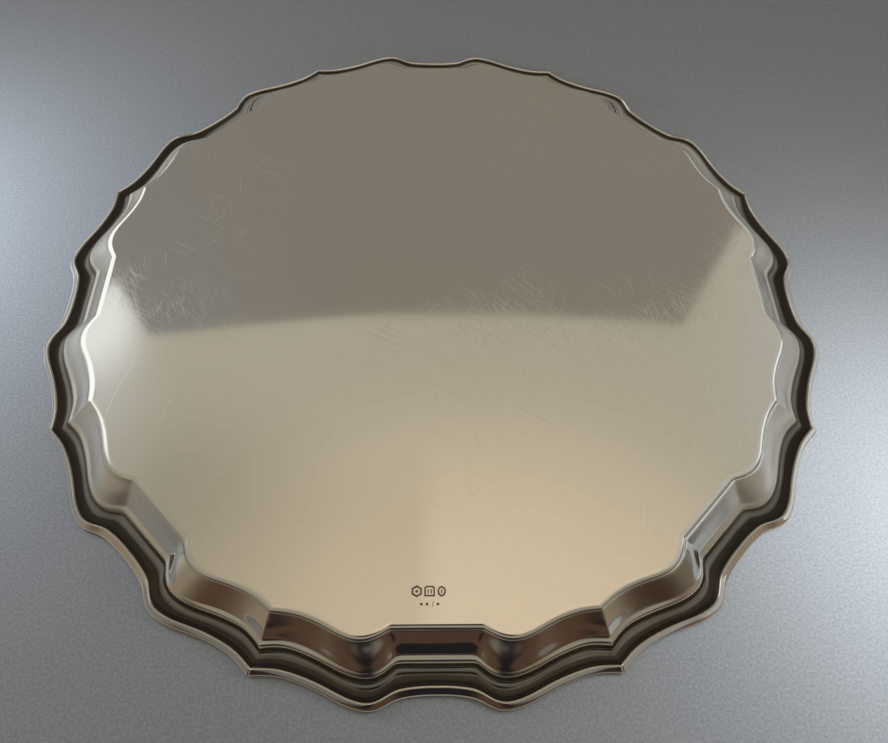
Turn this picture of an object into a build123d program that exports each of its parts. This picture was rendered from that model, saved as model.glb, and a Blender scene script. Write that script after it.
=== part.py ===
from build123d import *
import math
import os

# Silver salver lying face down on the rim of its border, underside up.
# Origin: centre of the rim's resting plane.  +Z points out of the underside.
# A notch of the border faces -Y.  Millimetres throughout.

# ---------------------------------------------------------------- driving sizes
R_POINT = 190.0          # centre to the tip of a border point (diameter 380)
LOBES = 8                # points and notches round the border
H_BASE = 15.808          # rim plane up to the flat underside
T_SHEET = 1.2            # thickness of the formed sheet
H_RIM = 3.50             # height of the rim wire above its resting plane
W_RIM = 3.3              # width of the rim wire
MARK_DEPTH = 0.30        # depth of the punched marks in the flat

U = R_POINT
HALF = 180.0 / LOBES     # half a sector, notch centre to point

# ---------------------------------------------------------------- border outlines
# Each outline is one half sector: the notch (straight chord or arch) up to the
# corner angle, then the shoulder out to the point.  Radii are fractions of
# R_POINT, angles are degrees from the notch centre.
OUTLINES = {
    # edge of the flat base
    "F": {"corner": 6.3, "notch": [(0, 0.83850)], "chord": True,
          "flank": [(8.0, 0.8615), (9.4, 0.8710), (10.8, 0.8740), (12.8, 0.8705),
                    (15.2, 0.8618), (17.8, 0.8570), (20.2, 0.8595), (22.5, 0.8690)]},
    # foot of the wall, inner line of the ledge
    "G": {"corner": 5.3, "notch": [(0, 0.88970)], "chord": True,
          "flank": [(7.0, 0.9215), (8.3, 0.9335), (9.8, 0.9360), (12.2, 0.9290),
                    (14.8, 0.9175), (17.4, 0.9115), (20.0, 0.9145), (22.5, 0.9300)]},
    # outer line of the ledge
    "H": {"corner": 5.1, "notch": [(0, 0.90620)], "chord": True,
          "flank": [(7.0, 0.9375), (8.3, 0.9460), (9.6, 0.9480), (12.2, 0.9425),
                    (14.8, 0.9325), (17.4, 0.9272), (20.0, 0.9300), (22.5, 0.9470)]},
    # crest of the rim
    "C": {"corner": 5.2, "notch": [(0, 0.94650), (1.7, 0.94730), (3.5, 0.95140), (5.2, 0.96080)],
          "chord": False,
          "flank": [(6.6, 0.9770), (8.0, 0.9870), (9.2, 0.9875), (10.8, 0.9835),
                    (13.0, 0.9745), (15.4, 0.9675), (17.6, 0.9658), (20.0, 0.9702), (22.5, 0.9855)]},
    # outer edge of the rim
    "O": {"corner": 5.2, "notch": [(0, 0.96300), (1.7, 0.96400), (3.5, 0.96850), (5.2, 0.97900)],
          "chord": False,
          "flank": [(6.6, 0.9935), (8.0, 1.0010), (9.2, 1.0008), (10.8, 0.9970),
                    (13.0, 0.9875), (15.4, 0.9798), (17.6, 0.9778), (20.0, 0.9830), (22.5, 1.0000)]},
}

# Cross-section of the underside from the flat outwards:
# (outline A, outline B, blend, radial shift, height), fractions of R_POINT
SECTION = [
    ("F", "F", 0.00, -0.0035, 0.0832),   # end of the flat
    ("F", "F", 0.00, 0.0028, 0.0821),
    ("F", "F", 0.00, 0.0080, 0.0792),
    ("F", "F", 0.00, 0.0120, 0.0748),    # top of the wall
    ("F", "G", 0.615, 0.0000, 0.0541),
    ("G", "G", 0.00, -0.0008, 0.0348),   # foot of the wall
    ("G", "G", 0.00, 0.0014, 0.0334),
    ("G", "H", 0.62, 0.0000, 0.0285),    # ledge, inner facet
    ("H", "H", 0.00, 0.0000, 0.0200),    # ledge, outer edge
    ("H", "C", 0.06, 0.0000, 0.0148),    # trough
    ("H", "C", 0.25, 0.0000, 0.0100),
    ("H", "C", 0.50, 0.0000, 0.0084),
    ("H", "C", 0.75, 0.0000, 0.0100),
    ("C", "C", 0.00, -0.0040, 0.0132),
]
# Where the sheet's edge meets the rim wire (upper and lower line of the joint)
JOINT_UP = ("C", "C", 0.00, -0.0014, 0.0164)
JOINT_LO = ("C", "C", 0.00, -0.0014, 0.0088)


def catmull(points, x):
    """Smooth interpolation through a short table of (x, y)."""
    if x <= points[0][0]:
        return points[0][1]
    if x >= points[-1][0]:
        return points[-1][1]
    i = 0
    while x > points[i + 1][0]:
        i += 1
    (x1, y1), (x2, y2) = points[i], points[i + 1]

    def slope(j):
        if j == 0:
            return (points[1][1] - points[0][1]) / (points[1][0] - points[0][0])
        if j == len(points) - 1:
            return (points[j][1] - points[j - 1][1]) / (points[j][0] - points[j - 1][0])
        return (points[j + 1][1] - points[j - 1][1]) / (points[j + 1][0] - points[j - 1][0])

    h = x2 - x1
    t = (x - x1) / h
    m1, m2 = slope(i) * h, slope(i + 1) * h
    return ((2 * t**3 - 3 * t**2 + 1) * y1 + (t**3 - 2 * t**2 + t) * m1
            + (-2 * t**3 + 3 * t**2) * y2 + (t**3 - t**2) * m2)


def outline_xy(name, s):
    """Point of an outline; s 0..1 is the notch, 1..2 the shoulder.  Notch axis on +X."""
    o = OUTLINES[name]
    tc = o["corner"]
    if o["chord"]:
        rn = o["notch"][0][1]
        rc = rn / math.cos(math.radians(tc))
        if s <= 1.0:
            return rn, s * rn * math.tan(math.radians(tc))
        table = [(tc, rc)] + o["flank"]
        th = tc + (s - 1.0) * (HALF - tc)
        r = catmull(table, th)
    else:
        table = o["notch"] + o["flank"]
        mirrored = [(-a, r) for a, r in reversed(table[1:3])] + table
        th = s * tc if s <= 1.0 else tc + (s - 1.0) * (HALF - tc)
        r = catmull(mirrored, th)
    a = math.radians(th)
    return r * math.cos(a), r * math.sin(a)


def station_xyz(station, s):
    """Point of a border line, millimetres, notch axis on +X; negative s is the mirror side."""
    a, b, f, dr, z = station
    sa = abs(s)
    xa, ya = outline_xy(a, sa)
    xb, yb = outline_xy(b, sa)
    x, y = xa + f * (xb - xa), ya + f * (yb - ya)
    ln = math.hypot(x, y)
    x, y = x * (1 + dr / ln), y * (1 + dr / ln)
    return x * U, (y if s >= 0 else -y) * U, z * U


def rotated(p, k):
    a = math.radians(-90.0 + k * 360.0 / LOBES)
    return (p[0] * math.cos(a) - p[1] * math.sin(a), p[0] * math.sin(a) + p[1] * math.cos(a), p[2])


SPLITS = [(-2.0, -1.0), (-1.0, 1.0), (1.0, 2.0)]


def station_edges(station, k):
    """Three edges of one sector: shoulder, notch, shoulder, from point to point."""
    edges = []
    for s0, s1 in SPLITS:
        n = 9 if (s1 - s0) == 1.0 else 7
        pts = [rotated(station_xyz(station, s0 + (s1 - s0) * i / (n - 1)), k) for i in range(n)]
        straight = (s0, s1) == (-1.0, 1.0) and OUTLINES[station[0]]["chord"] and OUTLINES[station[1]]["chord"]
        edges.append(Line(pts[0], pts[-1]).edge() if straight else Spline(pts).edge())
    return edges


def offset_station(prev, here, nxt, depth):
    """The same border line on the other face of the sheet, depth below it."""
    def rz(st):
        x, y, z = station_xyz(st, 1.35)
        return math.hypot(x, y), z
    (r0, z0), (r1, z1) = rz(prev), rz(nxt)
    ln = math.hypot(r1 - r0, z1 - z0)
    nr, nz = -(z1 - z0) / ln, (r1 - r0) / ln
    a, b, f, dr, z = here
    return (a, b, f, dr - nr * depth / U, z - nz * depth / U)


def solid_of(faces):
    shell = Shell(faces)
    s = Solid(shell)
    if s.volume < 0:
        s = Solid(Shell([-f for f in faces]))
    return s


def ruled(e1, e2):
    return Face.make_surface_from_curves(e1, e2)


# ---------------------------------------------------------------- formed sheet
under = SECTION + [JOINT_UP]
well = []
for i in range(len(SECTION)):
    prev = under[max(i - 1, 0)]
    nxt = under[min(i + 1, len(under) - 1)]
    if i == 0:
        a, b, f, dr, z = under[0]
        well.append((a, b, f, dr, z - T_SHEET / U))
    else:
        well.append(offset_station(prev, under[i], nxt, T_SHEET))
# the well side is simplified where the fold is too tight to repeat every line
well = [w for i, w in enumerate(well) if i not in (1, 6, 8, 9, 13)]
loop = under + [JOINT_LO] + list(reversed(well))

body_faces = []
cap_top, cap_low = [], []
for k in range(LOBES):
    rows = [station_edges(st, k) for st in loop]
    for a, b in zip(rows[:-1], rows[1:]):
        for e1, e2 in zip(a, b):
            body_faces.append(ruled(e1, e2))
    cap_top += rows[0]
    cap_low += rows[-1]
body_faces.append(Face(Wire(cap_top)))
body_faces.append(Face(Wire(cap_low)))
tray_body = solid_of(body_faces)

# ---------------------------------------------------------------- punched marks
# Three small punches in a row and a line of small square punches near the notch on -Y.
marks = Part()
mark_y = -0.774 * U
for i, sides in enumerate((6, 4, 8)):
    cx = (-0.014 + (i - 1) * 0.0255) * U
    ring = extrude(Pos(cx, mark_y, H_BASE) * RegularPolygon(radius=2.0, side_count=sides, rotation=45 if sides == 4 else 0), amount=-MARK_DEPTH)
    core = extrude(Pos(cx, mark_y, H_BASE) * RegularPolygon(radius=1.1, side_count=sides, rotation=45 if sides == 4 else 0), amount=-MARK_DEPTH)
    marks += ring - core
for i in range(4):
    cx = (-0.014 + (i - 1.5) * 0.0115) * U
    marks += Pos(cx, mark_y - 0.0255 * U, H_BASE - MARK_DEPTH / 2) * Box(0.8, 0.8, MARK_DEPTH)
tray_body = tray_body - marks
tray_body = tray_body.solid() if hasattr(tray_body, "solid") else tray_body

# ---------------------------------------------------------------- rim wire, eight lengths
# Closed section of the wire, starting at the joint with the sheet.
RIM_SECTION = [
    JOINT_UP,
    ("C", "C", 0.00, 0.0002, 0.0180),
    ("C", "C", 0.00, 0.0020, 0.0184),
    ("C", "O", 0.32, 0.0000, 0.0164),
    ("C", "O", 0.66, 0.0000, 0.0106),
    ("C", "O", 0.84, 0.0000, 0.0086),
    ("O", "O", 0.00, 0.0000, 0.0074),
    ("O", "O", 0.00, -0.0022, 0.0032),
    ("O", "O", 0.00, -0.0070, 0.0000),
    ("C", "C", 0.00, 0.0050, 0.0000),
    ("C", "C", 0.00, 0.0004, 0.0036),
    JOINT_LO,
]
rims = []
for k in range(LOBES):
    rows = [station_edges(st, k) for st in RIM_SECTION]
    faces = []
    n = len(rows)
    for i in range(n):
        for e1, e2 in zip(rows[i], rows[(i + 1) % n]):
            faces.append(ruled(e1, e2))
    for end in (-2.0, 2.0):
        pts = [rotated(station_xyz(st, end), k) for st in RIM_SECTION]
        faces.append(Face(Wire.make_polygon([Vector(*p) for p in pts], close=True)))
    rims.append(solid_of(faces))

# ---------------------------------------------------------------- output
os.makedirs("parts", exist_ok=True)
tray_body.label = "tray_body"
export_step(tray_body, "parts/tray_body.step")
print("tray_body", tray_body.is_valid, round(tray_body.volume, 1), tray_body.bounding_box())
for k, rim in enumerate(rims):
    name = "rim_wire_%d" % (k + 1)
    rim.label = name
    export_step(rim, "parts/%s.step" % name)
    print(name, rim.is_valid, round(rim.volume, 1), rim.bounding_box())
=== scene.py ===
import math
import random

import bpy
import numpy as np
from mathutils import Matrix, Vector, noise
from mathutils.geometry import delaunay_2d_cdt


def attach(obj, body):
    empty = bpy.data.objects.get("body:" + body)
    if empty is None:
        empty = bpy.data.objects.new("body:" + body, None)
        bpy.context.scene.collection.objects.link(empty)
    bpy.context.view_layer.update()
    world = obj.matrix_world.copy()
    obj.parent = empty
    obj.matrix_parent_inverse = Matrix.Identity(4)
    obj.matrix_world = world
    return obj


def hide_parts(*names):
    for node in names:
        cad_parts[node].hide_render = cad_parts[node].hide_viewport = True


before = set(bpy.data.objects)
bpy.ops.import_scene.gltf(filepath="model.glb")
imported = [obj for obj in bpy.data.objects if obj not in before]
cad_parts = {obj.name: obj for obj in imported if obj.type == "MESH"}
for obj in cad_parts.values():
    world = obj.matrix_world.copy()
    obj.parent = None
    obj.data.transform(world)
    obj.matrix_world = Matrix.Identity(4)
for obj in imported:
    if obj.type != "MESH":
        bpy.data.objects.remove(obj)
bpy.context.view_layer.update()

U = 0.190            # centre to the tip of a border point, metres
LOBES = 8
HALF = 22.5
TOP = 0.0832         # height of the flat, fraction of U
SHEET = 0.0012

# ------------------------------------------------------------------ border outlines
OUT = {
    "F": (6.3, True, [(0, 0.83850)],
          [(8.0, 0.8615), (9.4, 0.8710), (10.8, 0.8740), (12.8, 0.8705),
           (15.2, 0.8618), (17.8, 0.8570), (20.2, 0.8595), (22.5, 0.8690)]),
    "G": (5.3, True, [(0, 0.88970)],
          [(7.0, 0.9215), (8.3, 0.9335), (9.8, 0.9360), (12.2, 0.9290),
           (14.8, 0.9175), (17.4, 0.9115), (20.0, 0.9145), (22.5, 0.9300)]),
    "H": (5.1, True, [(0, 0.90620)],
          [(7.0, 0.9375), (8.3, 0.9460), (9.6, 0.9480), (12.2, 0.9425),
           (14.8, 0.9325), (17.4, 0.9272), (20.0, 0.9300), (22.5, 0.9470)]),
    "C": (5.2, False, [(0, 0.94650), (1.7, 0.94730), (3.5, 0.95140), (5.2, 0.96080)],
          [(6.6, 0.9770), (8.0, 0.9870), (9.2, 0.9875), (10.8, 0.9835),
           (13.0, 0.9745), (15.4, 0.9675), (17.6, 0.9658), (20.0, 0.9702), (22.5, 0.9855)]),
    "O": (5.2, False, [(0, 0.96300), (1.7, 0.96400), (3.5, 0.96850), (5.2, 0.97900)],
          [(6.6, 0.9935), (8.0, 1.0010), (9.2, 1.0008), (10.8, 0.9970),
           (13.0, 0.9875), (15.4, 0.9798), (17.6, 0.9778), (20.0, 0.9830), (22.5, 1.0000)]),
}


def smooth_table(pts, x):
    """Natural cubic spline through (x, y) points, evaluated at the array x."""
    px = np.array([p[0] for p in pts], float)
    py = np.array([p[1] for p in pts], float)
    n = len(px)
    h = np.diff(px)
    A = np.zeros((n, n)); b = np.zeros(n)
    A[0, 0] = A[-1, -1] = 1.0
    for i in range(1, n - 1):
        A[i, i - 1] = h[i - 1]; A[i, i] = 2 * (h[i - 1] + h[i]); A[i, i + 1] = h[i]
        b[i] = 3 * ((py[i + 1] - py[i]) / h[i] - (py[i] - py[i - 1]) / h[i - 1])
    c = np.linalg.solve(A, b)
    d = np.diff(c) / (3 * h)
    bb = np.diff(py) / h - h * (2 * c[:-1] + c[1:]) / 3
    k = np.clip(np.searchsorted(px, x) - 1, 0, n - 2)
    t = x - px[k]
    return py[k] + bb[k] * t + c[k] * t * t + d[k] * t ** 3


def outline(name, s):
    """Half a sector; s 0..1 notch, 1..2 shoulder.  Notch axis on +X, fractions of U."""
    tc, chord, notch, flank = OUT[name]
    s = np.asarray(s, float)
    th = np.where(s <= 1, s * tc, tc + (s - 1) * (HALF - tc))
    if chord:
        rn = notch[0][1]
        rc = rn / math.cos(math.radians(tc))
        r = smooth_table([(tc, rc)] + flank, th)
        a = np.radians(th)
        x = np.where(s <= 1, rn, r * np.cos(a))
        y = np.where(s <= 1, s * rn * math.tan(math.radians(tc)), r * np.sin(a))
        return x, y
    table = notch + flank
    mirrored = [(-a, r) for a, r in reversed(table[1:4])] + table
    r = smooth_table(mirrored, th)
    a = np.radians(th)
    return r * np.cos(a), r * np.sin(a)


# One half sector's columns: close together at the notch corner and at the point.
NA, NB = 14, 34
def half_s():
    a = np.sin(np.linspace(0, np.pi / 2, NA + 1))          # dense towards the corner
    t = np.linspace(0, 1, NB + 1)
    b = 1 + 0.5 * (1 - np.cos(np.pi * t)) * 0.6 + 0.4 * t   # dense at both ends
    b = 1 + (b - 1) / (b[-1] - 1)
    return np.concatenate([a, b[1:]])


HS = half_s()
S_ALL = np.concatenate([-HS[::-1][:-1], HS])[:-1]     # -2 .. just under 2
NC = len(S_ALL) * LOBES


# ------------------------------------------------------------------ cross-section
SECTION = [
    ("F", "F", 0.00, -0.0125, 0.0832),
    ("F", "F", 0.00, -0.0035, 0.0831),
    ("F", "F", 0.00, 0.0028, 0.0821),
    ("F", "F", 0.00, 0.0080, 0.0792),
    ("F", "F", 0.00, 0.0120, 0.0748),
    ("F", "G", 0.615, 0.0000, 0.0553),
    ("G", "G", 0.00, -0.0008, 0.0348),
    ("G", "G", 0.00, 0.0014, 0.0334),
    ("G", "H", 0.62, 0.0000, 0.0285),
    ("H", "H", 0.00, 0.0000, 0.0200),
    ("H", "C", 0.06, 0.0000, 0.0148),
    ("H", "C", 0.25, 0.0000, 0.0100),
    ("H", "C", 0.50, 0.0000, 0.0084),
    ("H", "C", 0.75, 0.0000, 0.0100),
    ("C", "C", 0.00, -0.0040, 0.0132),
    ("C", "C", 0.00, -0.0014, 0.0164),
]
# how sharp each line is: 0 = smooth curve through it, 1 = a crease
SHARP = [0.0, 0, 0, 0, 0.8, 0, 0.9, 0.6, 0.35, 0.8, 0.6, 0, 0, 0, 0, 1]
# how dark each line is painted: the trough has never been polished to its bottom, and the shade deep in its groove is
# painted in as well
DARK = [0.0, 0.0, 0.0, 0.0, 0.0, 0.0, 0.12, 0.05, 0.0, 0.34, 0.66, 0.74, 0.92, 1.0, 1.0, 0.62]
DARK_FAR = [0.0, 0.0, 0.0, 0.0, 0.0, 0.0, 0.12, 0.05, 0.0, 0.34, 0.58, 0.34, 0.30, 0.84, 1.0, 0.62]   # the same with less painted shade, for the far side
FINE = [4, 4, 5, 5, 9, 9, 4, 3, 6, 6, 4, 6, 6, 6, 4]     # rows per span


KEYS = ["F", "G", "H", "C", "O"]


def vec(st):
    v = np.zeros(7)
    a, b, f, dr, z = st
    v[KEYS.index(a)] += 1 - f
    v[KEYS.index(b)] += f
    v[5] = dr; v[6] = z
    return v


def rounded_outline(name, width):
    """The outline at every column, its notch corners eased over `width` (fraction of U)."""
    s = np.linspace(-2, 2, 1601)
    x, y = outline(name, np.abs(s)); y = np.where(s < 0, -y, y)
    t = np.concatenate([[0.0], np.cumsum(np.hypot(np.diff(x), np.diff(y)))])
    out = []
    for v in S_ALL:
        c = np.interp(v, s, t)
        w = max(min(width, (t[-1] - c) / 3.2, c / 3.2), 1e-6)
        k = np.exp(-0.5 * ((t - c) / w) ** 2)
        k *= np.gradient(t)
        if k.sum() < 1e-12:
            out.append((np.interp(v, s, x), np.interp(v, s, y)))
        else:
            out.append(((k * x).sum() / k.sum(), (k * y).sum() / k.sum()))
    out = np.array(out)
    return out[:, 0], out[:, 1]


EASE = {"F": 0.0030, "G": 0.0075, "H": 0.0070, "C": 0.0030, "O": 0.0020}
BASE = {key: rounded_outline(key, EASE[key]) for key in KEYS}


def ring_v(v):
    x = sum(v[i] * BASE[k][0] for i, k in enumerate(KEYS))
    y = sum(v[i] * BASE[k][1] for i, k in enumerate(KEYS))
    ln = np.hypot(x, y)
    x = x * (1 + v[5] / ln); y = y * (1 + v[5] / ln)
    rows = []
    for k in range(LOBES):
        t = math.radians(-90.0 + 45.0 * k)
        rows.append(np.stack([x * math.cos(t) - y * math.sin(t), x * math.sin(t) + y * math.cos(t), np.full_like(x, v[6])], 1))
    return np.concatenate(rows) * U


def dense_profile(section, sharp, fine):
    """Catmull-Rom through the stations, with slopes broken at the sharp ones."""
    V = [vec(s) for s in section]
    n = len(V)
    rz = []
    for v in V:
        x = sum(v[i] * BASE[k][0][len(HS) + 10] for i, k in enumerate(KEYS))
        y = sum(v[i] * BASE[k][1][len(HS) + 10] for i, k in enumerate(KEYS))
        rz.append((math.hypot(x, y) + v[5], v[6]))
    d = [max(math.hypot(rz[i + 1][0] - rz[i][0], rz[i + 1][1] - rz[i][1]), 1e-6) for i in range(n - 1)]
    out = []
    for i in range(n - 1):
        chord = (V[i + 1] - V[i]) / d[i]

        def tangent(j):
            if j == 0 or j == n - 1:
                return chord
            m0 = (V[j] - V[j - 1]) / d[j - 1]; m1 = (V[j + 1] - V[j]) / d[j]
            m = (m0 * d[j] + m1 * d[j - 1]) / (d[j] + d[j - 1])
            return m * (1 - sharp[j]) + chord * sharp[j]
        t0, t1 = tangent(i) * d[i], tangent(i + 1) * d[i]
        if i == 0:
            t0 = vec(section[0]) * 0; t0[5] = 0.0082
        for q in range(fine[i]):
            t = q / fine[i]
            out.append((2 * t**3 - 3 * t**2 + 1) * V[i] + (t**3 - 2 * t**2 + t) * t0
                       + (-2 * t**3 + 3 * t**2) * V[i + 1] + (t**3 - t**2) * t1)
    out.append(V[-1])
    return out


def profile_rz(vs, col):
    out = []
    for v in vs:
        x = sum(v[i] * BASE[k][0][col] for i, k in enumerate(KEYS))
        y = sum(v[i] * BASE[k][1][col] for i, k in enumerate(KEYS))
        out.append((math.hypot(x, y) + v[5], v[6]))
    return np.array(out)


def offset_profile(vs, depth):
    """The well side: every line moved by the sheet's thickness along the section's normal."""
    rz = profile_rz(vs, len(HS) + 10)
    res = []
    n = len(vs)
    for i, v in enumerate(vs):
        a = rz[max(i - 2, 0)]; b = rz[min(i + 2, n - 1)]
        ln = math.hypot(b[0] - a[0], b[1] - a[1]) + 1e-9
        nr, nz = -(b[1] - a[1]) / ln, (b[0] - a[0]) / ln
        w = v.copy(); w[5] -= nr * depth; w[6] -= nz * depth
        if w[6] < 0.0014:
            w[6] = 0.0014
        res.append(w)
    # drop lines that fold back over each other
    keep = [res[0]]
    r_last = profile_rz([res[0]], len(HS) + 10)[0]
    for w in res[1:]:
        r = profile_rz([w], len(HS) + 10)[0]
        if r[0] > r_last[0] + 0.0006:
            keep.append(w); r_last = r
    return keep


def mesh_object(name, verts, faces, smooth=True):
    me = bpy.data.meshes.new(name)
    me.from_pydata([tuple(v) for v in verts], [], [tuple(f) for f in faces])
    me.validate()
    me.polygons.foreach_set("use_smooth", [smooth] * len(me.polygons))
    ob = bpy.data.objects.new(name, me)
    bpy.context.scene.collection.objects.link(ob)
    return ob


# ------------------------------------------------------------------ punched marks
def ngon(cx, cy, r, n, rot=0.0, sx=1.0):
    return [(cx + sx * r * math.cos(rot + 2 * math.pi * i / n), cy + r * math.sin(rot + 2 * math.pi * i / n)) for i in range(n)]


def inset(loop, d):
    """Shrinks a convex loop towards its middle by about d."""
    cx = sum(p[0] for p in loop) / len(loop); cy = sum(p[1] for p in loop) / len(loop)
    r = min(math.hypot(x - cx, y - cy) for x, y in loop)
    k = max(0.1, 1 - d / r)
    return [(cx + (x - cx) * k, cy + (y - cy) * k) for x, y in loop]


MARKS = []           # (outer loop, depth, inner raised loop or None)
MX, MY = -0.014 * U, -0.774 * U
# three outlined punches: a hexagon, an arched oblong, an oval
MARKS.append((ngon(MX - 0.0050, MY, 0.00235, 6, math.radians(30)), 0.00030, ngon(MX - 0.0050, MY, 0.00165, 6, math.radians(30))))
MARKS.append(([(MX - 0.0021, MY - 0.0020), (MX + 0.0021, MY - 0.0020), (MX + 0.0021, MY + 0.0014), (MX + 0.0013, MY + 0.0021), (MX - 0.0013, MY + 0.0021), (MX - 0.0021, MY + 0.0014)],
              0.00030, [(MX - 0.0016, MY - 0.0015), (MX + 0.0016, MY - 0.0015), (MX + 0.0016, MY + 0.0011), (MX + 0.0010, MY + 0.0016), (MX - 0.0010, MY + 0.0016), (MX - 0.0016, MY + 0.0011)]))
MARKS.append((ngon(MX + 0.0047, MY, 0.0021, 16, 0.0, 0.80), 0.00030, ngon(MX + 0.0047, MY, 0.0015, 16, 0.0, 0.76)))
# the device inside each: a dot, two strokes, a stroke
MARKS.append((ngon(MX - 0.0050, MY, 0.00062, 8), 0.00025, None))
MARKS.append(([(MX - 0.0008, MY - 0.0009), (MX - 0.0003, MY - 0.0009), (MX - 0.0003, MY + 0.0009), (MX - 0.0008, MY + 0.0009)], 0.00025, None))
MARKS.append(([(MX + 0.0004, MY - 0.0009), (MX + 0.0009, MY - 0.0009), (MX + 0.0009, MY + 0.0009), (MX + 0.0004, MY + 0.0009)], 0.00025, None))
MARKS.append(([(MX + 0.00445, MY - 0.0008), (MX + 0.00495, MY - 0.0008), (MX + 0.00495, MY + 0.0008), (MX + 0.00445, MY + 0.0008)], 0.00025, None))
# a line of small plain punches under them: dots and short strokes
for i, w in enumerate((0, 0, 1, 0)):
    px = MX + (-0.0032, -0.0010, 0.0012, 0.0032)[i]
    py = MY - 0.0049
    if w:
        MARKS.append(([(px - 0.0003, py - 0.0010), (px - 0.00005, py - 0.0010), (px + 0.0004, py + 0.0011), (px + 0.00015, py + 0.0011)], 0.00030, None))
    else:
        MARKS.append((ngon(px, py, 0.00058, 8), 0.00030, None))
# a faint row of shallow dots near the far edge
for i in range(5):
    MARKS.append((ngon(0.0029 + (i - 2) * 0.0015, 0.1482, 0.00045, 8), 0.00014, None))


def base_ripple(x, y):
    """The flat is hand-finished: it waves by a few hundredths of a millimetre."""
    v = noise.noise(Vector((x * 9.0 + 3.1, y * 9.0 - 1.7, 0.3)))
    w = noise.noise(Vector((x * 26.0 - 5.3, y * 26.0 + 2.2, 4.1)))
    edge = max(0.0, 1.0 - (math.hypot(x, y) / (0.80 * U)) ** 6)
    return (v * 0.00010 + w * 0.000012) * edge


def flat_patch(boundary, z, marks, ripple=True, step=0.0042, flip=False):
    """Triangulates the flat inside the boundary ring, with real recesses for the marks."""
    pts, cons, depth, tag = [], [], [], []

    def add_loop(loop, dz, kind):
        s = len(pts)
        for p in loop:
            pts.append(Vector((p[0], p[1]))); depth.append(dz); tag.append(kind)
        n = len(loop)
        cons.extend([(s + i, s + (i + 1) % n) for i in range(n)])
        return s, n
    add_loop([(p[0], p[1]) for p in boundary], 0.0, 0)
    boxes = []
    for loop, dep, inner in marks:
        add_loop(loop, 0.0, 1)
        low = inset(loop, 0.00020)
        add_loop(low, -dep, 1)
        if inner:
            add_loop(inner, -dep, 1)
            add_loop(inset(inner, 0.00016), 0.0, 1)
        xs = [p[0] for p in loop]; ys = [p[1] for p in loop]
        boxes.append((min(xs) - 0.0006, max(xs) + 0.0006, min(ys) - 0.0006, max(ys) + 0.0006))
    # steiner points: a hexagonal grid, kept clear of the boundary and the marks
    bx = np.array([p[0] for p in boundary]); by = np.array([p[1] for p in boundary])
    ang = np.arctan2(by, bx); order = np.argsort(ang)
    ang_s = ang[order]; rad_s = np.hypot(bx, by)[order]
    n = int(0.18 / step) + 1
    for j in range(-n * 2, n * 2 + 1):
        y = j * step * 0.866
        for i in range(-n * 2, n * 2 + 1):
            x = (i + 0.5 * (j % 2)) * step
            r = math.hypot(x, y)
            if r > 0.175:
                continue
            rb = np.interp(math.atan2(y, x), ang_s, rad_s, period=2 * math.pi)
            if r > rb - step * 0.7:
                continue
            if any(b[0] < x < b[1] and b[2] < y < b[3] for b in boxes):
                continue
            pts.append(Vector((x, y))); depth.append(0.0); tag.append(2)
    v2, e2, f2, vo, eo, fo = delaunay_2d_cdt(pts, cons, [], 1, 1e-7)
    zz = []
    for i, v in enumerate(v2):
        o = vo[i][0] if vo[i] else None
        dz = depth[o] if o is not None else 0.0
        zz.append(z + dz + (base_ripple(v.x, v.y) if ripple else 0.0))
    verts = [(v.x, v.y, zz[i]) for i, v in enumerate(v2)]
    faces = [f[::-1] if flip else f for f in f2]
    return verts, faces, [vo[i][0] if vo[i] else -1 for i in range(len(v2))]


def signed(f, verts):
    a = 0.0
    for i in range(len(f)):
        p, q = verts[f[i]], verts[f[(i + 1) % len(f)]]
        a += p[0] * q[1] - q[0] * p[1]
    return a


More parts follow.
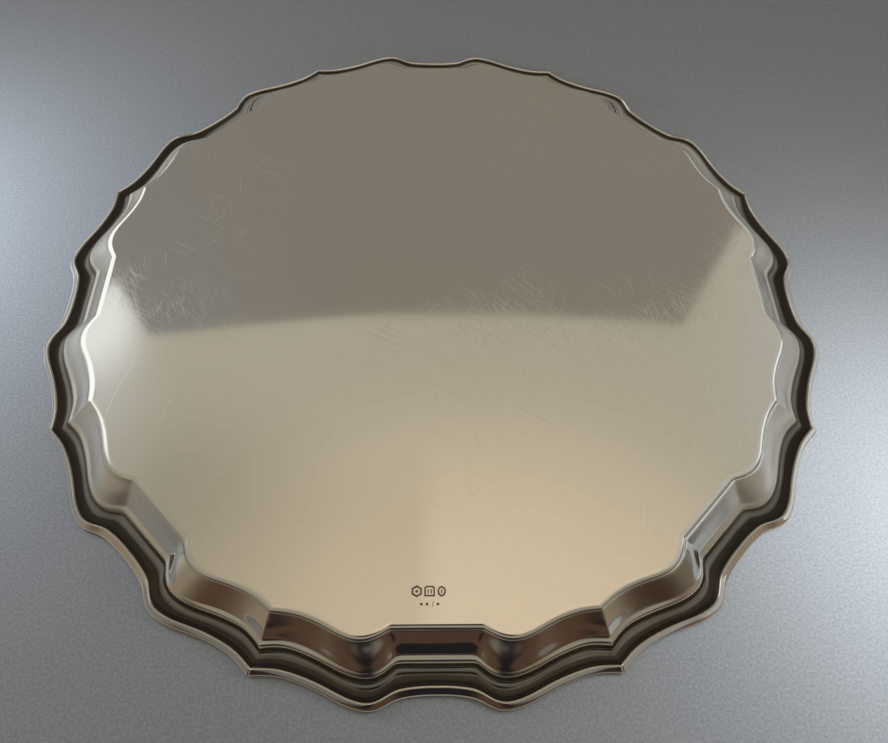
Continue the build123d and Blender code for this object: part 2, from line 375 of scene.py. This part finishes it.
# ------------------------------------------------------------------ the formed sheet
def build_tray():
    under = dense_profile(SECTION, SHARP, FINE)
    well = offset_profile(under, SHEET / U)
    # the sheet's edge is hidden behind the rim wire
    edge = [vec(("C", "C", 0, -0.0014, 0.0125)), vec(("C", "C", 0, -0.0014, 0.0090))]
    well = [w for w in well if profile_rz([w], 0)[0][0] < profile_rz([edge[0]], 0)[0][0] - 0.0015]
    well_rows = list(reversed(well))
    rows = under + edge + well_rows
    rings = [ring_v(v) for v in rows]
    def per_row(table):
        vals = []
        for i in range(len(SECTION) - 1):
            for q in range(FINE[i]):
                t = q / FINE[i]
                vals.append(table[i] * (1 - t) + table[i + 1] * t)
        vals.append(table[-1])
        return vals + [0.3] * (len(rows) - len(vals))
    dark_rows, dark_far_rows = per_row(DARK), per_row(DARK_FAR)
    verts = np.concatenate(rings)
    n = NC
    for r in range(8, len(under) - 6):
        ramp = min(1.0, (r - 8) / 8.0, (len(under) - 6 - r) / 8.0)
        for c in range(n):
            v = verts[r * n + c]
            verts[r * n + c][2] += ramp * (0.00007 * noise.noise(Vector((v[0] * 60.0, v[1] * 60.0, 2.0)))
                                           + 0.000018 * noise.noise(Vector((v[0] * 210.0, v[1] * 210.0, 7.0))))
    faces = []
    for r in range(len(rings) - 1):
        a0, b0 = r * n, (r + 1) * n
        for c in range(n):
            c1 = (c + 1) % n
            faces.append((a0 + c, b0 + c, b0 + c1, a0 + c1))
    verts = [tuple(v) for v in verts]
    # underside flat
    pv, pf, po = flat_patch(rings[0], rings[0][0][2], MARKS)
    remap = {}
    for i, o in enumerate(po):
        if 0 <= o < n:
            remap[i] = o
        else:
            remap[i] = len(verts); verts.append(pv[i])
    for f in pf:
        f = f if signed(f, pv) > 0 else f[::-1]
        faces.append(tuple(remap[i] for i in f))
    # well-side flat
    last = (len(rings) - 1) * n
    pv, pf, po = flat_patch(rings[-1], rings[-1][0][2], [], ripple=False, step=0.012)
    remap = {}
    for i, o in enumerate(po):
        if 0 <= o < n:
            remap[i] = last + o
        else:
            remap[i] = len(verts); verts.append(pv[i])
    for f in pf:
        f = f if signed(f, pv) < 0 else f[::-1]
        faces.append(tuple(remap[i] for i in f))
    ob = mesh_object("formed_sheet", verts, faces)
    at = ob.data.attributes.new("tarnish_and_shade", "FLOAT", "POINT")
    vals = np.zeros(len(ob.data.vertices), np.float32)
    turn = np.arctan2(rings[0][:, 1], rings[0][:, 0])            # the painted shade in the trough is lighter on the far side
    far_side_weight = np.clip((np.cos(turn - math.radians(80.0)) - 0.42) / 0.30, 0.0, 1.0)
    far_side_weight = far_side_weight * far_side_weight * (3 - 2 * far_side_weight)
    for r in range(len(rows)):
        vals[r * n:(r + 1) * n] = dark_rows[r] * (1 - far_side_weight) + dark_far_rows[r] * far_side_weight
    # painted shade: the wall at the near right is darkened
    w0, w1 = sum(FINE[:4]) - 2, sum(FINE[:6])
    off = np.degrees(np.abs(np.mod(turn + math.radians(52.0) + np.pi, 2 * np.pi) - np.pi))
    near_right_shade = np.clip((17.0 - off) / 7.0, 0.0, 1.0)
    for r in range(w0, w1 + 1):
        fade = min(1.0, (r - w0) / 4.0, (w1 + 1 - r) / 3.0)
        vals[r * n:(r + 1) * n] = np.maximum(vals[r * n:(r + 1) * n], 0.60 * fade * near_right_shade)
    # the floors of the punched marks get a high dark value too
    for i, v in enumerate(ob.data.vertices):
        if v.co.z > 0.0150 and TOP * U - v.co.z > 0.00006 + abs(base_ripple(v.co.x, v.co.y)) and math.hypot(v.co.x, v.co.y) < 0.81 * U:
            vals[i] = 0.85
    at.data.foreach_set("value", vals)
    # crisp edges round the punched marks
    lift = np.array([v.co.z for v in ob.data.vertices])
    crisp = set()
    for f in ob.data.polygons:
        if abs(f.normal.z) < 0.985 and f.center.z > (TOP - 0.0018) * U and math.hypot(f.center.x, f.center.y) < 0.815 * U:
            for k in f.edge_keys:
                crisp.add(k)
            f.use_smooth = False
    for e in ob.data.edges:
        if tuple(e.key) in crisp:
            e.use_edge_sharp = True
    return ob


# ------------------------------------------------------------------ rim wire, eight lengths
RIM = [
    ("C", "C", 0.00, -0.0013, 0.0164),
    ("C", "C", 0.00, 0.0002, 0.0180),
    ("C", "C", 0.00, 0.0020, 0.0184),
    ("C", "O", 0.32, 0.0000, 0.0160),
    ("C", "O", 0.66, 0.0000, 0.0113),
    ("C", "O", 0.86, 0.0000, 0.0088),
    ("O", "O", 0.00, 0.0000, 0.0074),
    ("O", "O", 0.00, -0.0022, 0.0032),
    ("O", "O", 0.00, -0.0070, 0.0000),
    ("C", "C", 0.00, 0.0050, 0.0000),
    ("C", "C", 0.00, 0.0004, 0.0036),
    ("C", "C", 0.00, -0.0013, 0.0088),
]


def closed_profile(section, per):
    V = [vec(s) for s in section]
    n = len(V)
    out = []
    for i in range(n):
        p0, p1, p2, p3 = V[i - 1], V[i], V[(i + 1) % n], V[(i + 2) % n]
        straight = i in (11, 8, 9)
        for q in range(1 if straight else per):
            t = q / per
            if straight:
                out.append(p1); continue
            out.append(0.5 * ((2 * p1) + (-p0 + p2) * t + (2 * p0 - 5 * p1 + 4 * p2 - p3) * t * t + (-p0 + 3 * p1 - 3 * p2 + p3) * t ** 3))
    return out


def build_rims():
    prof = closed_profile(RIM, 4)
    m = len(prof)
    full = [ring_v(v) for v in prof]
    per = len(S_ALL)
    obs = []
    for k in range(LOBES):
        cols = [(k * per + i) % NC for i in range(per + 1)]
        verts = []
        gap = 0.00003
        for ci, c in enumerate(cols):
            for r in range(m):
                verts.append(full[r][c].copy())
        verts = np.array(verts)
        # the mitre: each length stops a hair short of the plane of the border point
        for end, c in ((0, cols[0]), (per, cols[-1])):
            seg = verts[end * m:(end + 1) * m]
            nb = verts[(end + (1 if end == 0 else -1)) * m:(end + (1 if end == 0 else -1)) * m + m]
            d = nb - seg
            d /= np.linalg.norm(d, axis=1)[:, None]
            seg += d * gap
        faces = []
        for i in range(per):
            a0, b0 = i * m, (i + 1) * m
            for r in range(m):
                r1 = (r + 1) % m
                faces.append((a0 + r, b0 + r, b0 + r1, a0 + r1))
        faces.append(tuple(range(m)))
        faces.append(tuple(per * m + i for i in reversed(range(m))))
        ob = mesh_object("rim_length_%d" % (k + 1), verts, faces)
        obs.append(ob)
    return obs


def fix_normals(ob):
    import bmesh
    bm = bmesh.new(); bm.from_mesh(ob.data)
    bmesh.ops.recalc_face_normals(bm, faces=bm.faces)
    bm.to_mesh(ob.data); bm.free()


# ------------------------------------------------------------------ materials
def nt(mat):
    mat.use_nodes = True
    t = mat.node_tree
    for n in list(t.nodes):
        t.nodes.remove(n)
    return t


def silver(name, tone=(0.93, 0.90, 0.84), rough=0.085, trench=True):
    mat = bpy.data.materials.new(name)
    t = nt(mat); N = t.nodes; L = t.links
    out = N.new("ShaderNodeOutputMaterial")
    p = N.new("ShaderNodeBsdfPrincipled")
    p.inputs["Metallic"].default_value = 1.0
    L.new(p.outputs["BSDF"], out.inputs["Surface"])
    tc = N.new("ShaderNodeTexCoord")

    def noise_n(scale, detail=4, rough_=0.5, src=None, dist=0.0):
        n = N.new("ShaderNodeTexNoise"); n.inputs["Scale"].default_value = scale
        n.inputs["Detail"].default_value = detail; n.inputs["Roughness"].default_value = rough_
        n.inputs["Distortion"].default_value = dist
        L.new(src or tc.outputs["Object"], n.inputs["Vector"])
        return n.outputs["Fac"]

    def ramp(src, pts):
        r = N.new("ShaderNodeValToRGB"); L.new(src, r.inputs["Fac"])
        e = r.color_ramp.elements
        while len(e) < len(pts):
            e.new(0.5)
        for i, (pos, col) in enumerate(pts):
            e[i].position = pos
            e[i].color = col if len(col) == 4 else (*col, 1)
        return r.outputs["Color"]

    def math_n(op, a, b=None, c=None):
        m = N.new("ShaderNodeMath"); m.operation = op
        for i, v in enumerate((a, b, c)):
            if v is None:
                continue
            if isinstance(v, (int, float)):
                m.inputs[i].default_value = v
            else:
                L.new(v, m.inputs[i])
        return m.outputs[0]

    def hairlines(angle, across, along, thr, seed, bend=0.0):
        """Fine straight scratches: a noise drawn out along one direction, only its peaks kept."""
        mp = N.new("ShaderNodeMapping"); mp.inputs["Rotation"].default_value = (0, 0, angle)
        mp.inputs["Location"].default_value = (seed, seed * 0.37, 0)
        L.new(tc.outputs["Object"], mp.inputs["Vector"])
        mp2 = N.new("ShaderNodeMapping"); mp2.inputs["Scale"].default_value = (along, across, 1.0)
        L.new(mp.outputs["Vector"], mp2.inputs["Vector"])
        f = noise_n(1.0, 1, 0.5, mp2.outputs["Vector"], bend)
        c = N.new("ShaderNodeClamp")
        L.new(math_n("MULTIPLY", math_n("SUBTRACT", f, thr), 14.0), c.inputs["Value"])
        return c.outputs[0]

    def patch(cx, cy, radius):
        """Weight 1 in a round area of the flat, falling off at `radius`."""
        d = N.new("ShaderNodeVectorMath"); d.operation = "DISTANCE"
        L.new(tc.outputs["Object"], d.inputs[0]); d.inputs[1].default_value = (cx * U, cy * U, TOP * U)
        mr = N.new("ShaderNodeMapRange"); mr.interpolation_type = "SMOOTHSTEP"
        L.new(d.outputs["Value"], mr.inputs["Value"])
        mr.inputs["From Min"].default_value = radius * U; mr.inputs["From Max"].default_value = radius * U * 0.25
        return mr.outputs[0]

    every = math_n("MAXIMUM", hairlines(0.50, 2000.0, 26.0, 0.672, 3.1, 0.4), hairlines(-0.85, 2200.0, 34.0, 0.680, 7.7, 0.3))
    every = math_n("MAXIMUM", every, hairlines(1.40, 1900.0, 40.0, 0.680, 1.9, 0.3))
    many = math_n("MAXIMUM", hairlines(1.15, 3600.0, 66.0, 0.646, 5.3, 0.10), hairlines(-1.35, 3600.0, 60.0, 0.665, 2.3, 0.08))
    many = math_n("MAXIMUM", many, hairlines(0.75, 3400.0, 50.0, 0.660, 9.1, 0.10))
    where = math_n("MAXIMUM", patch(0.16, -0.02, 0.22), patch(0.42, -0.62, 0.16))
    where = math_n("MAXIMUM", where, math_n("MAXIMUM", math_n("MULTIPLY", patch(-0.62, 0.02, 0.28), 0.58), patch(0.66, -0.25, 0.34)))
    where = math_n("MAXIMUM", where, math_n("MULTIPLY", patch(-0.52, 0.38, 0.50), 0.40))
    clusters = noise_n(24.0, 3, 0.6)
    cl = N.new("ShaderNodeClamp"); L.new(math_n("MULTIPLY", math_n("SUBTRACT", clusters, 0.38), 5.0), cl.inputs["Value"])
    few = noise_n(9.0, 2, 0.5)
    fw = N.new("ShaderNodeClamp"); L.new(math_n("MULTIPLY", math_n("SUBTRACT", few, 0.44), 5.0), fw.inputs["Value"])
    sc = math_n("MAXIMUM", math_n("MULTIPLY", every, fw.outputs[0]), math_n("MULTIPLY", math_n("MULTIPLY", many, where), cl.outputs[0]))

    def arc(cx, cy, radius, half_width, gate):
        """One long curved scratch: part of a circle, kept only inside `gate`."""
        d = N.new("ShaderNodeVectorMath"); d.operation = "DISTANCE"
        L.new(tc.outputs["Object"], d.inputs[0]); d.inputs[1].default_value = (cx * U, cy * U, TOP * U)
        off = math_n("ABSOLUTE", math_n("SUBTRACT", d.outputs["Value"], radius * U))
        c = N.new("ShaderNodeClamp")
        L.new(math_n("SUBTRACT", 1.0, math_n("DIVIDE", off, half_width)), c.inputs["Value"])
        return math_n("MULTIPLY", c.outputs[0], gate)

    long1 = arc(-0.30, -0.42, 0.46, 0.00020, patch(-0.72, -0.32, 0.13))
    long2 = arc(-0.10, -0.52, 0.55, 0.00016, patch(-0.62, -0.36, 0.08))
    long3 = arc(0.90, -0.68, 0.45, 0.00040, patch(0.452, -0.62, 0.055))
    long4 = arc(0.90, -0.68, 0.462, 0.00030, patch(0.445, -0.60, 0.045))
    long5 = arc(0.10, 1.10, 1.20, 0.00018, patch(0.05, -0.12, 0.12))
    marks = math_n("MAXIMUM", math_n("MAXIMUM", long1, long2), math_n("MAXIMUM", math_n("MAXIMUM", long3, long4), long5))
    sc = math_n("MAXIMUM", sc, marks)

    smudge = noise_n(7.0, 5, 0.62)
    cloud = noise_n(2.2, 3, 0.5)
    r1 = math_n("MULTIPLY_ADD", smudge, 0.05, rough - 0.025)
    r2 = math_n("MULTIPLY_ADD", sc, 0.30, r1)
    L.new(r2, p.inputs["Roughness"])

    # colour: warm silver, a little yellow tarnish in clouds
    warm = ramp(cloud, [(0.30, (tone[0], tone[1], tone[2])), (0.75, (tone[0] * 0.965, tone[1] * 0.935, tone[2] * 0.86))])
    L.new(warm, p.inputs["Base Color"])
    if trench:
        at = N.new("ShaderNodeAttribute"); at.attribute_name = "tarnish_and_shade"
        grain = noise_n(60.0, 4, 0.6)
        d0 = math_n("MULTIPLY_ADD", math_n("SUBTRACT", grain, 0.5), 0.22, at.outputs["Fac"])
        gate = N.new("ShaderNodeClamp")
        L.new(math_n("MULTIPLY", math_n("MULTIPLY", d0, at.outputs["Fac"]), 1.25), gate.inputs["Value"])
        shade_and_tarnish = gate.outputs[0]
        # base colour darkened toward near-black by the attribute: tarnish in the trough, painted shade of its groove
        # and of the near-right wall, and the darkened floors of the punched marks
        mx = N.new("ShaderNodeMix"); mx.data_type = "RGBA"
        L.new(shade_and_tarnish, mx.inputs["Factor"])
        L.new(warm, mx.inputs["A"]); mx.inputs["B"].default_value = (0.060, 0.050, 0.042, 1)
        L.new(mx.outputs["Result"], p.inputs["Base Color"])
        r3 = math_n("MULTIPLY_ADD", shade_and_tarnish, 0.10, r2)
        # the border is satin rather than bright at the two sides
        sep = N.new("ShaderNodeSeparateXYZ"); L.new(tc.outputs["Object"], sep.inputs[0])
        side = N.new("ShaderNodeMapRange"); side.interpolation_type = "SMOOTHSTEP"
        L.new(math_n("ABSOLUTE", sep.outputs[0]), side.inputs["Value"])
        side.inputs["From Min"].default_value = 0.50 * U; side.inputs["From Max"].default_value = 0.74 * U
        drop = N.new("ShaderNodeMapRange"); drop.interpolation_type = "SMOOTHSTEP"
        L.new(sep.outputs[2], drop.inputs["Value"])
        drop.inputs["From Min"].default_value = 0.0790 * U; drop.inputs["From Max"].default_value = 0.0740 * U
        satin = math_n("MULTIPLY", math_n("MULTIPLY", side.outputs[0], drop.outputs[0]), math_n("MULTIPLY_ADD", smudge, 0.20, 0.24))
        r4 = math_n("ADD", r3, satin)
        L.new(r4, p.inputs["Roughness"])
    # scratches in the surface itself, as a bump
    b = N.new("ShaderNodeBump"); b.inputs["Distance"].default_value = 0.00002
    b.inputs["Strength"].default_value = 0.26
    L.new(sc, b.inputs["Height"])
    L.new(b.outputs["Normal"], p.inputs["Normal"])
    return mat


def floor_mat():
    mat = bpy.data.materials.new("pale_floor")
    t = nt(mat); N = t.nodes; L = t.links
    out = N.new("ShaderNodeOutputMaterial"); p = N.new("ShaderNodeBsdfPrincipled")
    p.inputs["Roughness"].default_value = 0.75
    p.inputs["Base Color"].default_value = (0.62, 0.64, 0.67, 1)
    L.new(p.outputs["BSDF"], out.inputs["Surface"])
    tc = N.new("ShaderNodeTexCoord")
    n = N.new("ShaderNodeTexNoise"); n.inputs["Scale"].default_value = 900.0; n.inputs["Detail"].default_value = 2
    L.new(tc.outputs["Object"], n.inputs["Vector"])
    r = N.new("ShaderNodeValToRGB"); L.new(n.outputs["Fac"], r.inputs["Fac"])
    r.color_ramp.elements[0].position = 0.30; r.color_ramp.elements[0].color = (0.262, 0.266, 0.276, 1)
    r.color_ramp.elements[1].position = 0.72; r.color_ramp.elements[1].color = (0.352, 0.357, 0.368, 1)
    L.new(r.outputs["Color"], p.inputs["Base Color"])
    bm = N.new("ShaderNodeBump"); bm.inputs["Distance"].default_value = 0.0004; bm.inputs["Strength"].default_value = 0.35
    L.new(n.outputs["Fac"], bm.inputs["Height"]); L.new(bm.outputs["Normal"], p.inputs["Normal"])
    return mat


# ------------------------------------------------------------------ assemble
tray = build_tray()
fix_normals(tray)
rims = build_rims()
for r in rims:
    fix_normals(r)
m_sheet = silver("silver_sheet_polished", rough=0.055)
m_wire = silver("silver_wire_polished", tone=(0.93, 0.89, 0.82), rough=0.07, trench=False)
tray.data.materials.append(m_sheet)
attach(tray, "root"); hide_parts("tray_body")
for k, r in enumerate(rims):
    r.data.materials.append(m_wire)
    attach(r, "root"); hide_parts("rim_wire_%d" % (k + 1))

# floor
fl = bpy.data.meshes.new("floor")
fl.from_pydata([(-3, -3, 0), (3, -3, 0), (3, 3, 0), (-3, 3, 0)], [], [(0, 1, 2, 3)])
floor = bpy.data.objects.new("floor", fl)
bpy.context.scene.collection.objects.link(floor)
fl.materials.append(floor_mat())

# ------------------------------------------------------------------ camera
EL, YAW, ROLL, DIST = 1.04998359, -0.0380343605, 0.0319595124, 1.83778436
tgt = np.array([0.02237533, -0.213596724, 0.0078])
ce, se = math.cos(EL), math.sin(EL); cy, sy = math.cos(YAW), math.sin(YAW)
back = np.array([sy * ce, -cy * ce, se])
right = np.array([cy, sy, 0.0]); up = np.cross(right, -back)
r2 = right * math.cos(ROLL) + up * math.sin(ROLL)
u2 = -right * math.sin(ROLL) + up * math.cos(ROLL)
pos = (tgt + back * DIST) * U
cam_data = bpy.data.cameras.new("camera")
cam_data.lens = 730.936 / 888 * 36.0
cam_data.sensor_width = 36.0
cam_data.clip_start = 0.01
cam = bpy.data.objects.new("camera", cam_data)
bpy.context.scene.collection.objects.link(cam)
cam.matrix_world = Matrix(((r2[0], u2[0], back[0], pos[0]), (r2[1], u2[1], back[1], pos[1]), (r2[2], u2[2], back[2], pos[2]), (0, 0, 0, 1)))
bpy.context.scene.camera = cam

# ------------------------------------------------------------------ light: a soft studio surround
def surround():
    w = bpy.data.worlds.new("studio"); bpy.context.scene.world = w
    w.use_nodes = True
    t = w.node_tree; N = t.nodes; L = t.links
    for n in list(N):
        N.remove(n)
    out = N.new("ShaderNodeOutputWorld"); bg = N.new("ShaderNodeBackground")
    L.new(bg.outputs[0], out.inputs["Surface"])
    tc = N.new("ShaderNodeTexCoord")
    sep = N.new("ShaderNodeSeparateXYZ"); L.new(tc.outputs["Generated"], sep.inputs[0])
    X, Y, Z = sep.outputs

    def M(op, a, b=None, c=None, clamp=False):
        m = N.new("ShaderNodeMath"); m.operation = op; m.use_clamp = clamp
        for i, v in enumerate((a, b, c)):
            if v is None:
                continue
            if isinstance(v, (int, float)):
                m.inputs[i].default_value = v
            else:
                L.new(v, m.inputs[i])
        return m.outputs[0]

    def step(v, lo, hi):
        mr = N.new("ShaderNodeMapRange"); mr.interpolation_type = "SMOOTHSTEP"
        L.new(v, mr.inputs["Value"])
        mr.inputs["From Min"].default_value = lo; mr.inputs["From Max"].default_value = hi
        return mr.outputs[0]

    def mix(f, a, b):
        m = N.new("ShaderNodeMix"); m.data_type = "RGBA"
        if isinstance(f, (int, float)):
            m.inputs["Factor"].default_value = f
        else:
            L.new(f, m.inputs["Factor"])
        for s, v in (("A", a), ("B", b)):
            if isinstance(v, tuple):
                m.inputs[s].default_value = (*v, 1)
            else:
                L.new(v, m.inputs[s])
        return m.outputs["Result"]

    def dome(dx, dy, dz, inner, outer):
        """Weight 1 within `inner` degrees of a direction, falling to 0 at `outer`."""
        ln = math.sqrt(dx * dx + dy * dy + dz * dz)
        d = M("ADD", M("ADD", M("MULTIPLY", X, dx / ln), M("MULTIPLY", Y, dy / ln)), M("MULTIPLY", Z, dz / ln))
        return step(d, math.cos(math.radians(outer)), math.cos(math.radians(inner)))

    def inv(v):
        return M("SUBTRACT", 1.0, v)

    def AND(*v):
        r = v[0]
        for q in v[1:]:
            r = M("MULTIPLY", r, q)
        return r

    # ceiling, with a warm glow overhead
    col = mix(dome(0.06, 0.03, 1.0, 0, 30), (0.425, 0.400, 0.335), (0.70, 0.60, 0.465))
    # it is a little dimmer left of a soft edge that runs away from the viewer
    negx = M("MULTIPLY", X, -1.0)
    dim = AND(step(negx, -0.02, 0.03), inv(step(Y, 0.30, 0.46)))
    col = mix(M("MULTIPLY", dim, 0.17), col, (0.10, 0.08, 0.05))
    dim2 = AND(step(negx, 0.10, 0.34), inv(step(Y, 0.30, 0.55)))
    col = mix(M("MULTIPLY", dim2, 0.20), col, (0.16, 0.14, 0.11))
    # right-hand wall, pale above and greyer lower down
    col = mix(step(X, 0.34, 0.50), col, (0.45, 0.46, 0.465))
    col = mix(AND(step(X, 0.56, 0.66), inv(step(Z, 0.55, 0.68))), col, (0.235, 0.235, 0.220))
    # behind: pale wall above, dim below
    negy = M("MULTIPLY", Y, -1.0)
    behind = step(negy, 0.10, 0.38)
    col = mix(behind, col, (0.270, 0.258, 0.215))
    # low down: light walls left and right, brown room behind
    low = inv(step(Z, 0.34, 0.52))
    col = mix(AND(low, step(negy, -0.10, 0.40)), col, (0.240, 0.200, 0.150))
    ax = M("ABSOLUTE", X)
    col = mix(AND(low, step(negy, 0.30, 0.70), inv(step(ax, 0.55, 0.92))), col, (0.078, 0.048, 0.032))
    col = mix(AND(inv(step(Z, 0.10, 0.26)), inv(step(negy, -0.20, 0.20))), col, (0.38, 0.38, 0.375))
    # right-hand window
    rw = AND(step(X, 0.60, 0.68), step(Y, 0.08, 0.16), inv(step(Y, 0.38, 0.46)), step(Z, 0.28, 0.40))
    col = mix(rw, col, (0.92, 0.95, 0.99))
    # left-hand window: tall, cool, bright, brightest low down
    ysafe = M("MAXIMUM", Y, 0.02)
    gx = M("DIVIDE", X, ysafe); gz = M("DIVIDE", Z, ysafe)
    veil = AND(step(negx, 0.30, 0.44), inv(step(Z, 0.79, 0.90)), step(Z, 0.10, 0.24), step(Y, 0.10, 0.34))
    col = mix(M("MULTIPLY", veil, 0.80), col, (0.53, 0.55, 0.56))
    lw = AND(step(negx, 0.345, 0.395), inv(step(Z, 0.765, 0.815)), step(Z, 0.10, 0.24), step(Y, 0.14, 0.34))
    lc = mix(step(negx, 0.40, 0.47), (0.80, 0.84, 0.86), (1.05, 1.08, 1.10))
    col = mix(lw, col, lc)
    # the dark shape of the viewer, close overhead and behind
    you = dome(0.0, -0.31, 0.95, 7, 13)
    col = mix(you, col, (0.04, 0.03, 0.022))
    body = AND(step(negy, 0.50, 0.78), inv(step(Z, 0.50, 0.61)), inv(step(ax, 0.10, 0.60)))
    belt = AND(step(Z, 0.112, 0.135), inv(step(Z, 0.20, 0.28)))
    col = mix(M("MULTIPLY", M("MULTIPLY", body, inv(M("MULTIPLY", belt, 0.85))), 0.94), col, (0.010, 0.010, 0.013))
    # the mid-grey panel ahead, on a wall across +Y
    inx = AND(step(gx, -0.715, -0.690), inv(step(gx, 0.618, 0.645)))
    edge = M("MULTIPLY_ADD", M("MULTIPLY", gx, gx), 0.155, M("MULTIPLY_ADD", gx, -0.02, 1.468))
    inz = inv(step(M("SUBTRACT", gz, edge), -0.010, 0.010))
    ahead = step(Y, 0.05, 0.12)
    pm = AND(inx, inz, ahead)
    pc = mix(step(M("MULTIPLY", gx, -1.0), 0.15, 0.72), (0.225, 0.203, 0.175), (0.225, 0.225, 0.222))
    col = mix(pm, col, pc)
    # below the horizon
    below = inv(step(Z, -0.02, 0.02))
    col = mix(below, col, (0.30, 0.31, 0.33))
    L.new(col, bg.inputs["Color"])
    bg.inputs["Strength"].default_value = 1.0
    # seen directly by the camera the surround is a plain pale backdrop
    bg2 = N.new("ShaderNodeBackground"); bg2.inputs["Color"].default_value = (0.60, 0.61, 0.63, 1)
    lp = N.new("ShaderNodeLightPath"); ms = N.new("ShaderNodeMixShader")
    L.new(lp.outputs["Is Camera Ray"], ms.inputs[0]); L.new(bg.outputs[0], ms.inputs[1]); L.new(bg2.outputs[0], ms.inputs[2])
    L.new(ms.outputs[0], out.inputs["Surface"])


def soft_light(name, loc, aim, size, watts, color):
    d = bpy.data.lights.new(name, "AREA"); d.shape = "RECTANGLE"
    d.size, d.size_y = size; d.energy = watts; d.color = color
    o = bpy.data.objects.new(name, d); bpy.context.scene.collection.objects.link(o)
    o.location = loc
    o.rotation_euler = (Vector(aim) - Vector(loc)).to_track_quat("-Z", "Y").to_euler()
    o.visible_camera = False; o.visible_glossy = False
    return o


surround()
soft_light("soft_left", (-0.34, 0.035, 0.13), (-0.31, 0.030, 0.0), (0.12, 0.16), 0.62, (0.72, 0.85, 1.0))
soft_light("soft_right", (0.255, -0.125, 0.110), (0.240, -0.115, 0.0), (0.12, 0.20), 0.52, (0.84, 0.93, 1.0))
bpy.context.scene.view_settings.view_transform = "Standard"
